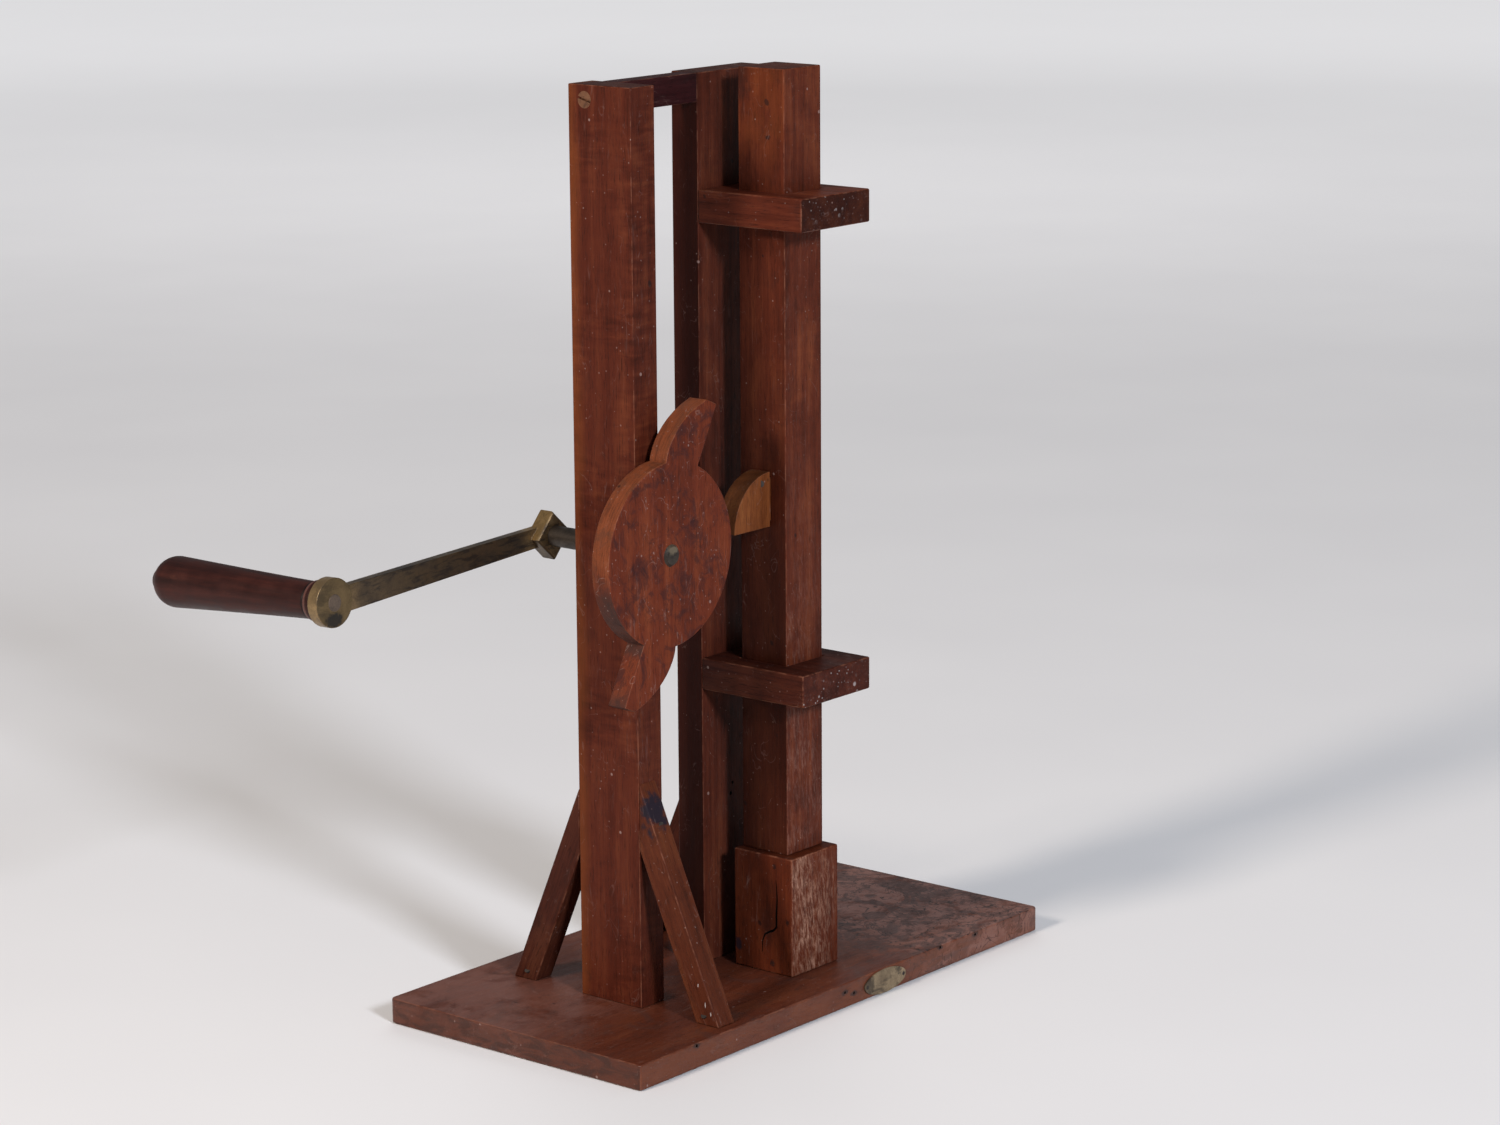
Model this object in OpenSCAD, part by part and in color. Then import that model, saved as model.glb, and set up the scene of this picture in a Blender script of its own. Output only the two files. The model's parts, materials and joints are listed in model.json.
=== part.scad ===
// Hand-cranked cam and stamper model.
// A two-wiper cam on a crank shaft lifts a square stamper that slides in two guide blocks.
// Origin: centre of the underside of the base board. +X runs along the board from the
// crank post to the guide board, +Y points to the crank side, +Z up. Millimetres.

/* [Base board] */
// Length of the base board, along X
base_l = 315; // [300:5:340]
// Width of the base board, along Y
base_w = 160; // [150:5:180]
// Thickness of the base board
base_t = 12.5; // [10:0.5:16]

/* [Uprights] */
// Height of both uprights above the base board
upright_h = 440; // [430:5:460]
// Width of the crank post, along X
post_w = 17; // [16:0.5:22]
// Depth of the crank post, along Y
post_d = 38; // [34:1:40]
// Width of the guide board, along X
board_w = 52.5; // [50:0.5:60]
// Thickness of the guide board, along Y
board_t = 16; // [14:0.5:18]
// Height of the rail that ties the two uprights together at the top
rail_h = 14; // [12:1:18]
// Thickness of that rail, along Y
rail_t = 10; // [9:0.5:12]

/* [Braces] */
// Width of the brace sticks, along X
brace_w = 12; // [10:0.5:14]
// Thickness of the brace sticks, square to their length
brace_t = 13; // [11:0.5:14]
// Lean of the braces from the vertical, in degrees
brace_lean = 23.3; // [21:0.1:25]
// Reach of the front brace's foot from the crank post
front_reach = 48; // [44:1:50]
// Reach of the rear brace's foot from the crank post
rear_reach = 44.5; // [42:0.5:50]
// Reach of the foot of the guide board's brace from the guide board
board_reach = 49; // [44:1:52]

/* [Stamper] */
// Side of the square stem
stem_w = 28; // [26:0.5:30]
// Length of the stem above the shoe
stem_l = 383; // [380:1:390]
// Side of the square shoe
shoe_w = 36.5; // [34:0.5:38]
// Height of the shoe
shoe_h = 60; // [54:1:64]
// Gap between the guide board and the stem
stem_gap = 15; // [14:0.5:18]
// Play of the stem in the guide blocks, on each side
stem_play = 0.4; // [0.3:0.1:0.8]

/* [Guide blocks] */
// Reach of the guide blocks from the guide board
block_reach = 63; // [58:1:66]
// Thickness of the guide blocks
block_t = 16; // [14:0.5:18]
// Height of the lower guide block's underside above the table
lower_block_z = 152; // [146:1:156]
// Height of the upper guide block's underside above the table
upper_block_z = 381; // [370:1:390]

/* [Cam and shaft] */
// Height of the shaft above the table
shaft_z = 235; // [230:1:240]
// Radius of the cam disc
cam_r = 44.3; // [42:0.1:45]
// Radius at the tips of the wipers
wiper_r = 75; // [70:0.5:75]
// Thickness of the cam wheel
cam_t = 10.5; // [9:0.5:11]
// Angle of the upper wiper's lifting side at its root, from +X towards +Z
wiper_root = 93.5; // [91:0.5:95]
// Angle of the upper wiper's straight back, from +X towards +Z
wiper_back = 63; // [61:0.5:65]
// Diameter of the shaft behind the crank post
shaft_d = 10; // [9.5:0.5:11]
// Diameter of the journal that runs in the crank post
journal_d = 8; // [7:0.5:9]
// Length of bare shaft between the crank post and the crank
shaft_bare = 20.5; // [18:0.5:24]

/* [Crank] */
// Length of the crank from the shaft to the grip spindle
arm_l = 145; // [140:0.5:150]
// Angle of the crank below the horizontal, in degrees
arm_dip = 2.9; // [0:0.1:10]
// Side of the crank's square hub
hub_w = 17; // [15:0.5:19]
// Thickness of the hub
hub_t = 8.8; // [7:0.2:10]
// Diameter of the round boss at the crank's outer end
boss_d = 23; // [22:0.5:25]
// Thickness of the boss
boss_t = 6; // [5:0.5:7]
// Length of the wooden grip
grip_l = 108; // [100:1:112]
// Largest diameter of the grip
grip_d = 24.3; // [23:0.1:27]
// Droop of the boss and its spindle towards the grip's outer end, in degrees
spindle_droop = 2.3; // [0:0.1:4]

/* [Hidden] */
$fn = 64;

// Places shared by several pieces
floor_z = base_t;
top_z = floor_z + upright_h;
back_y = 11;
post_x = -86.5;
post_left = post_x - post_w / 2;
post_front = back_y - post_d;
board_x = 4.75;
board_left = board_x - board_w / 2;
board_front = back_y - board_t;
rail_z = top_z - rail_h / 2;
stem_y = board_front - stem_gap - stem_w / 2;
stem_left = board_x - stem_w / 2;
shoe_y = stem_y - 2;
shoe_top = floor_z + shoe_h;
block_y = board_front - block_reach / 2;
bore_play = 0.05;
face_play = 0.2;
cut = 0.5;

// Cam and shaft places, along Y
cam_gap = 4;
cam_back = post_front - cam_gap;
cam_front = cam_back - cam_t;
hub_y = back_y + shaft_bare;
arm_t = 4.5;
arm_w_hub = 9.7;
arm_w_boss = 12.5;
square_w = 7;
spindle_d = 6;
hub_mid_y = hub_y + hub_t / 2;
spindle_y = hub_y + hub_t - arm_t / 2;
spindle_head_d = 8;
grip_start = boss_t / 2 + face_play;
grip_end = grip_start + grip_l;

// Tappet: a quarter round whose flat underside meets the wipers level with the shaft
tappet_l = 27;
tappet_t = 11;
tappet_z = shaft_z + 0.5;
tappet_y = stem_y + 1;
tappet_tenon = 6;

// Stub tenons
rail_tenon = [6, 5, 8];
shoe_tenon = [18, 18, 20];

// Screws: [length, shank diameter]
rail_screw_size = [42, 4];
upright_screw_size = [38, 4];
block_screw_size = [40, 4];
shoe_screw_size = [50, 4];
tappet_screw_size = [40, 3.5];
rail_screw_y = 1;
upright_screw_at = [
    [post_x, post_front + 9], [post_x, back_y - 9],
    [board_x - 16, back_y - board_t / 2], [board_x + 16, back_y - board_t / 2],
];
block_screw_x = [board_x - 20.5, board_x + 20.5];

// Oval plate on the front edge of the base board
plate_l = 33;
plate_h = 12;
plate_t = 0.8;
plate_x = 27;
plate_pin_x = 14.5;

// ---------- Fasteners, pointing down with the head's top at the origin ----------

module screw_body(size) {
    head_h = size[1] * 0.6;
    tip_h = size[1] * 1.5;
    translate([0, 0, -head_h]) cylinder(h = head_h, d1 = size[1], d2 = size[1] * 2);
    translate([0, 0, tip_h - size[0]]) cylinder(h = size[0] - tip_h - head_h, d = size[1]);
    translate([0, 0, -size[0]]) cylinder(h = tip_h, d1 = 0.6, d2 = size[1]);
}

module wood_screw(size, slot_turn = 0) {
    slot_w = size[1] * 0.25;
    difference() {
        screw_body(size);
        rotate([0, 0, slot_turn])
            cube([size[1] * 3, slot_w, size[1] * 0.6], center = true);
    }
}

module nail(l, d = 1.6) {
    head_h = 0.6;
    tip_h = 2.5;
    translate([0, 0, -head_h]) cylinder(h = head_h, d = d * 2);
    translate([0, 0, tip_h - l]) cylinder(h = l - tip_h - head_h, d = d);
    translate([0, 0, -l]) cylinder(h = tip_h, d1 = 0.4, d2 = d);
}

// ---------- Places of the fasteners ----------

module at_rail_screw() {
    translate([post_left, rail_screw_y, rail_z]) rotate([0, -90, 0]) children();
}

// The screws start 0.5 mm inside the underside, clear of the table
module at_upright_screws() {
    for (p = upright_screw_at)
        translate([p[0], p[1], cut]) rotate([180, 0, 0]) children();
}

module at_block_screws(z) {
    for (x = block_screw_x)
        translate([x, back_y, z + block_t / 2]) rotate([-90, 0, 0]) children();
}

module at_shoe_screw() {
    translate([board_x, stem_y, floor_z + cut]) rotate([180, 0, 0]) children();
}

module at_tappet_screw() {
    translate([board_x + stem_w / 2, tappet_y, tappet_z + 10]) rotate([0, 90, 0]) children();
}

module at_tappet_nail() {
    translate([stem_left - 7, tappet_y - tappet_t / 2, tappet_z + 22])
        rotate([0, 0, -45]) rotate([90, 0, 0]) children();
}

// Each brace: place on Y of the upright's face, side of it (-1 front, 1 rear), reach, left side
front_brace_at = [post_front, -1, front_reach, post_left];
rear_brace_at = [back_y, 1, rear_reach, post_left];
board_brace_at = [back_y, 1, board_reach, board_x - brace_w / 2];
brace_set = [front_brace_at, rear_brace_at, board_brace_at];

// One nail goes level through the top of a brace, one at a slant through its foot
module at_brace_nails(b) {
    rise = b[2] / tan(brace_lean);
    top_in = 20 * tan(brace_lean);
    translate([b[3] + brace_w / 2, b[0] + b[1] * top_in, floor_z + rise - 20])
        rotate([-90 * b[1], 0, 0]) children();
    translate([b[3], b[0] + b[1] * (b[2] - 9), floor_z + 5])
        rotate([0, -45, 0]) children();
}

// ---------- Frame ----------

module base_board() {
    color("sienna") difference() {
        translate([-base_l / 2, -base_w / 2, 0]) cube([base_l, base_w, base_t]);
        at_upright_screws() screw_body(upright_screw_size);
        at_upright_screws() cylinder(h = 2, d = upright_screw_size[1] * 2);
        for (b = brace_set) at_brace_nails(b) nail(18);
        at_plate_pins() nail(8, 1);
    }
}

module crank_post() {
    color("sienna") difference() {
        translate([post_left, post_front, floor_z]) cube([post_w, post_d, upright_h]);
        translate([post_x, post_front - cut, shaft_z]) rotate([-90, 0, 0])
            cylinder(h = post_d + 2 * cut, d = journal_d + 2 * bore_play);
        at_rail_screw() screw_body(rail_screw_size);
        at_upright_screws() screw_body(upright_screw_size);
        at_brace_nails(front_brace_at) nail(18);
        at_brace_nails(rear_brace_at) nail(18);
    }
}

module guide_board() {
    color("sienna") difference() {
        translate([board_left, board_front, floor_z]) cube([board_w, board_t, upright_h]);
        translate([board_left, rail_screw_y, rail_z]) rail_stub(rail_tenon);
        at_upright_screws() screw_body(upright_screw_size);
        at_block_screws(lower_block_z) screw_body(block_screw_size);
        at_block_screws(upper_block_z) screw_body(block_screw_size);
        at_brace_nails(board_brace_at) nail(18);
    }
}

module rail_stub(size) {
    translate([-0.01, -size[1] / 2, -size[2] / 2]) cube([size[0] + 0.01, size[1], size[2]]);
}

module top_rail() {
    right = post_x + post_w / 2;
    color("saddlebrown") difference() {
        union() {
            translate([right, board_front, top_z - rail_h])
                cube([board_left - right, rail_t, rail_h]);
            translate([board_left, rail_screw_y, rail_z]) rail_stub(rail_tenon);
        }
        at_rail_screw() screw_body(rail_screw_size);
    }
}

module rail_screw() {
    color("goldenrod") at_rail_screw() wood_screw(rail_screw_size, 74);
}

module brace(b) {
    foot = brace_t / cos(brace_lean);
    rise = b[2] / tan(brace_lean);
    inner_rise = (b[2] - foot) / tan(brace_lean);
    difference() {
        translate([b[3], b[0], floor_z]) rotate([90, 0, 90]) linear_extrude(brace_w)
            polygon([
                [b[1] * (b[2] - foot), 0], [b[1] * b[2], 0],
                [0, rise], [0, inner_rise],
            ]);
        at_brace_nails(b) nail(18);
    }
}

module front_brace() {
    color("peru") brace(front_brace_at);
}

module rear_brace() {
    color("sienna") brace(rear_brace_at);
}

module board_brace() {
    color("sienna") brace(board_brace_at);
}

module brace_nails() {
    color("dimgray") for (b = brace_set) at_brace_nails(b) nail(18);
}

module upright_screws() {
    color("dimgray") at_upright_screws() wood_screw(upright_screw_size);
}

module guide_block(z) {
    hole = stem_w + 2 * stem_play;
    color("sienna") difference() {
        translate([board_left, board_front - block_reach, z])
            cube([board_w, block_reach, block_t]);
        translate([board_x - hole / 2, stem_y - hole / 2, z - cut])
            cube([hole, hole, block_t + 2 * cut]);
        at_block_screws(z) screw_body(block_screw_size);
    }
}

module upper_guide_block() {
    guide_block(upper_block_z);
}

module lower_guide_block() {
    guide_block(lower_block_z);
}

module guide_block_screws() {
    color("dimgray") for (z = [lower_block_z, upper_block_z])
        at_block_screws(z) wood_screw(block_screw_size);
}

// ---------- Stamper ----------

module stamper_stem() {
    color("chocolate") difference() {
        union() {
            translate([stem_left, stem_y - stem_w / 2, shoe_top])
                cube([stem_w, stem_w, stem_l]);
            translate([board_x - shoe_tenon[0] / 2, stem_y - shoe_tenon[1] / 2, shoe_top - shoe_tenon[2]])
                cube(shoe_tenon + [0, 0, 1]);
        }
        translate([stem_left, tappet_y, tappet_z]) tappet_stub();
        at_shoe_screw() screw_body(shoe_screw_size);
        at_tappet_screw() screw_body(tappet_screw_size);
        at_tappet_nail() nail(20);
    }
}

module stamper_shoe() {
    color("sienna") difference() {
        translate([board_x - shoe_w / 2, shoe_y - shoe_w / 2, floor_z])
            cube([shoe_w, shoe_w, shoe_h]);
        translate([board_x - shoe_tenon[0] / 2, stem_y - shoe_tenon[1] / 2, shoe_top - shoe_tenon[2]])
            cube(shoe_tenon + [0, 0, 1]);
        at_shoe_screw() screw_body(shoe_screw_size);
        at_shoe_screw() cylinder(h = 2, d = shoe_screw_size[1] * 2);
    }
}

module shoe_screw() {
    color("dimgray") at_shoe_screw() wood_screw(shoe_screw_size);
}

// Tenon of the tappet, let into the stem
module tappet_stub() {
    translate([-0.01, -tappet_t / 2, 3])
        cube([tappet_tenon + 0.01, tappet_t, tappet_l - 6]);
}

module tappet() {
    color("burlywood") difference() {
        union() {
            translate([stem_left, tappet_y, tappet_z]) intersection() {
                rotate([90, 0, 0])
                    cylinder(h = tappet_t, r = tappet_l, center = true, $fn = 96);
                translate([-tappet_l, -tappet_t / 2, 0])
                    cube([tappet_l, tappet_t, tappet_l]);
            }
            translate([stem_left, tappet_y, tappet_z]) tappet_stub();
        }
        at_tappet_screw() screw_body(tappet_screw_size);
        at_tappet_nail() nail(20);
    }
}

module tappet_screw() {
    color("dimgray") at_tappet_screw() wood_screw(tappet_screw_size);
}

module tappet_nail() {
    color("dimgray") at_tappet_nail() nail(20);
}

// ---------- Cam, shaft and crank ----------

// Turns a piece drawn along +Z so that it lies on the shaft's axis, pointing to +Y
module on_shaft(y) {
    translate([post_x, y, shaft_z]) rotate([-90, 0, 0]) children();
}

// A point on the involute of the cam disc, t radians of unwinding from the root
function involute(t) =
    let (a = wiper_root - (t * 180 / PI - atan(t)))
    cam_r * sqrt(1 + t * t) * [cos(a), sin(a)];

// The lifting side is the involute of the disc, the back is straight
module wiper() {
    unwound = sqrt(pow(wiper_r / cam_r, 2) - 1);
    inner = cam_r - 10;
    polygon(concat(
        [inner * [cos(wiper_root), sin(wiper_root)]],
        [for (i = [0:12]) involute(unwound * i / 12)],
        [wiper_r * [cos(wiper_back + 3), sin(wiper_back + 3)]],
        [wiper_r * [cos(wiper_back), sin(wiper_back)]],
        [inner * [cos(wiper_back), sin(wiper_back)]]
    ));
}

key_d = 3;

module at_cam_key() {
    rotate([0, 0, 100]) translate([journal_d / 2, 0, 0]) children();
}

module cam_wheel() {
    color("sienna") difference() {
        translate([post_x, cam_back, shaft_z]) rotate([90, 0, 0]) union() {
            cylinder(h = cam_t, r = cam_r, $fn = 128);
            for (turn = [0, 180]) rotate([0, 0, turn]) linear_extrude(cam_t) wiper();
        }
        on_shaft(cam_front - cut) cylinder(h = cam_t + 2 * cut, d = journal_d);
        on_shaft(cam_front - cut) at_cam_key() cylinder(h = cam_t + 2 * cut, d = key_d);
    }
}

module cam_key() {
    color("dimgray") on_shaft(cam_front) at_cam_key() cylinder(h = cam_t, d = key_d);
}

module crank_shaft() {
    head_h = 1.2;
    head_d = 10.5;
    shoulder = back_y + face_play;
    color("slategray") difference() {
        union() {
            on_shaft(cam_front - head_h) cylinder(h = head_h, d1 = head_d - 2, d2 = head_d);
            on_shaft(cam_front) cylinder(h = shoulder - cam_front, d = journal_d);
            on_shaft(shoulder) cylinder(h = hub_y - shoulder, d = shaft_d);
            on_shaft(hub_mid_y) cube([square_w, square_w, hub_t], center = true);
        }
        on_shaft(cam_front) at_cam_key() cylinder(h = cam_t, d = key_d);
    }
}

module spacer_washer() {
    color("darkgoldenrod") difference() {
        on_shaft(cam_back) cylinder(h = cam_gap - face_play, d = journal_d * 2);
        on_shaft(cam_back - cut) cylinder(h = cam_gap + cut, d = journal_d);
    }
}

// Places a piece in the crank's own frame: X along the arm, Z towards the grip.
// The arm is flush with the outer face of the thicker hub
module on_crank(y) {
    translate([post_x, y, shaft_z]) rotate([0, -arm_dip, 0])
        rotate([-90, 0, 0]) rotate([0, 0, 180]) children();
}

// The spindle's axis leaves the middle of the boss and droops a little
module on_spindle() {
    translate([post_x - arm_l * cos(arm_dip), spindle_y, shaft_z - arm_l * sin(arm_dip)])
        rotate([-90 - spindle_droop, 0, 0]) children();
}

module crank_arm() {
    bevel = 0.8;
    hub_r = hub_w / sqrt(2);
    color("darkgoldenrod") difference() {
        union() {
            on_crank(hub_mid_y) {
                cylinder(h = hub_t - 2 * bevel, r = hub_r, center = true, $fn = 4);
                for (side = [0, 180]) rotate([side, 0, 0])
                    translate([0, 0, hub_t / 2 - bevel])
                        cylinder(h = bevel, r1 = hub_r, r2 = hub_r - bevel * sqrt(2), $fn = 4);
            }
            on_crank(spindle_y) translate([0, 0, -arm_t / 2]) linear_extrude(arm_t) polygon([
                [0, -arm_w_hub / 2], [arm_l, -arm_w_boss / 2],
                [arm_l, arm_w_boss / 2], [0, arm_w_hub / 2],
            ]);
            on_spindle() cylinder(h = boss_t, d = boss_d, center = true);
        }
        on_shaft(hub_mid_y) cube([square_w, square_w, hub_t + 2 * cut], center = true);
        on_spindle() cylinder(h = boss_t + 2 * cut, d = spindle_d, center = true);
    }
}

module grip_spindle() {
    rivet_h = 0.3;
    tip_h = 1.6;
    color("darkgoldenrod") on_spindle() {
        translate([0, 0, -boss_t / 2 - rivet_h])
            cylinder(h = rivet_h, d1 = spindle_head_d - 0.4, d2 = spindle_head_d);
        translate([0, 0, -boss_t / 2]) cylinder(h = boss_t / 2 + grip_end - tip_h, d = spindle_d);
        translate([0, 0, grip_end - tip_h])
            cylinder(h = tip_h, d1 = spindle_head_d, d2 = spindle_head_d - 2);
    }
}

washer_t = 1;
washer_z = grip_end - 1.6 - washer_t;
washer_d = 11;

module grip_washer() {
    color("darkgoldenrod") on_spindle() translate([0, 0, washer_z]) difference() {
        cylinder(h = washer_t, d = washer_d);
        translate([0, 0, -cut]) cylinder(h = washer_t + 2 * cut, d = spindle_d);
    }
}

// Turned grip: a bead next to the boss, a slim neck, a long swelling and a round end
module handle_grip() {
    bead_r = 9.7;
    neck_r = 8.7;
    top_r = grip_d / 2;
    end_z = grip_end - top_r;
    color("saddlebrown") on_spindle() difference() {
        union() {
            rotate_extrude($fn = 96) polygon([
                [0, grip_start], [bead_r - 1.5, grip_start], [bead_r, grip_start + 1.5],
                [bead_r, grip_start + 4.5], [bead_r - 1.2, grip_start + 6],
                [neck_r, grip_start + 6.5], [neck_r + 0.1, grip_start + 15],
                [top_r * 0.785, grip_start + 32], [top_r * 0.89, grip_start + 57],
                [top_r, end_z], [0, end_z],
            ]);
            intersection() {
                translate([0, 0, end_z]) sphere(r = top_r, $fn = 96);
                translate([0, 0, end_z - 0.01]) cylinder(h = top_r, r = top_r + 1);
            }
        }
        translate([0, 0, grip_start - cut])
            cylinder(h = grip_l + 2 * cut, d = spindle_d + 2 * bore_play);
        translate([0, 0, washer_z - face_play])
            cylinder(h = 10, d = washer_d + 2 * face_play);
    }
}

// ---------- Plate ----------

module at_plate_pins() {
    for (side = [-1, 1])
        translate([plate_x + side * plate_pin_x, -base_w / 2 - plate_t, base_t / 2])
            rotate([90, 0, 0]) children();
}

module id_plate() {
    color("darkkhaki") difference() {
        translate([plate_x, -base_w / 2, base_t / 2]) rotate([90, 0, 0])
            linear_extrude(plate_t) polygon([
                for (a = [0:7.5:359]) [plate_l / 2 * cos(a), plate_h / 2 * sin(a)]
            ]);
        at_plate_pins() nail(8, 1);
    }
}

module id_plate_pins() {
    color("dimgray") at_plate_pins() nail(8, 1);
}

base_board();
crank_post();
guide_board();
top_rail();
rail_screw();
front_brace();
rear_brace();
board_brace();
brace_nails();
upright_screws();
upper_guide_block();
lower_guide_block();
guide_block_screws();
stamper_stem();
stamper_shoe();
shoe_screw();
tappet();
tappet_screw();
tappet_nail();
cam_wheel();
cam_key();
crank_shaft();
spacer_washer();
crank_arm();
grip_spindle();
grip_washer();
handle_grip();
id_plate();
id_plate_pins();
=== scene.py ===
import json
import math

import bmesh
import bpy
from mathutils import Matrix, Vector


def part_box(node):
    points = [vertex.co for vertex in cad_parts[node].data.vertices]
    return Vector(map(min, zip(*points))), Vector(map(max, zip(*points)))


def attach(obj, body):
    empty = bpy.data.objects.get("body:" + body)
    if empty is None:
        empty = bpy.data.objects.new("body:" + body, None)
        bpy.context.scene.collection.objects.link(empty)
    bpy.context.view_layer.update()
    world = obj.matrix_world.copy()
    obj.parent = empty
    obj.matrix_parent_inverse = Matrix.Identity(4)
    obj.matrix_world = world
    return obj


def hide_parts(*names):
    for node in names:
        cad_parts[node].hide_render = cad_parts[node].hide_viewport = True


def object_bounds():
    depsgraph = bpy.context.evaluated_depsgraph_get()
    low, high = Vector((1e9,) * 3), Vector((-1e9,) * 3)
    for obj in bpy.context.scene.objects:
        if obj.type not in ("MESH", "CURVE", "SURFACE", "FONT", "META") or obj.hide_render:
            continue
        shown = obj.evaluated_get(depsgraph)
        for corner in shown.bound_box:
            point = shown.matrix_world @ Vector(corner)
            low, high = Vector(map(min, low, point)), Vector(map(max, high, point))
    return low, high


# Looks of the hand-cranked cam and stamper model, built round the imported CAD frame.
# Everything is in metres in the frame's own axes, unless a comment says mm. Most wood pieces
# are copies of their CAD nodes with worn edges, cracks and nail holes. The base board and the
# grip are built anew, and the other pieces are the CAD nodes themselves. All materials are
# procedural.

MM = 0.001
SAME_PLACE = 1e-6    # vertices closer than this are one

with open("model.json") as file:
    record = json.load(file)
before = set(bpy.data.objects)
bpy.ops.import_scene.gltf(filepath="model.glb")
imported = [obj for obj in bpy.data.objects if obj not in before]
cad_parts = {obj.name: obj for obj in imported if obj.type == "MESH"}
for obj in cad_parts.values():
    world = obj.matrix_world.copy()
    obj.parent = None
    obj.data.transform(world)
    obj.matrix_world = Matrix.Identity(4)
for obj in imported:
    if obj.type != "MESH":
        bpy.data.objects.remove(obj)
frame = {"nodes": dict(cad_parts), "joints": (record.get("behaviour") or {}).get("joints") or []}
cad_low, cad_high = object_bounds()
joints = {j["name"]: j for j in frame["joints"]}


# ---------- Places taken from the frame ----------

def box(node):
    """The lowest and highest corners of a CAD node."""
    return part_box(node)


def corner(node, x, y, z):
    """A place in a node's box: each of x, y, z runs from 0 to 1 across it."""
    low, high = box(node)
    return Vector((
        low.x + x * (high.x - low.x), low.y + y * (high.y - low.y), low.z + z * (high.z - low.z),
    ))


SHAFT = Vector(joints["crank_turn"]["pos_m"])
SPINDLE = Vector(joints["grip_spin"]["pos_m"])
SPINDLE_AXIS = Vector(joints["grip_spin"]["axis"]).normalized()
BRACE_LEAN = math.radians(23.3)    # from upright
FRONT, LEFT, DOWN = (0, -1, 0), (-1, 0, 0), (0, 0, -1)


# ---------- Node graphs ----------

def put(node, **values):
    """Sets inputs of a node that nothing is linked to. An underscore stands for a space."""
    for name, value in values.items():
        node.inputs[name.replace("_", " ")].default_value = value


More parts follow.
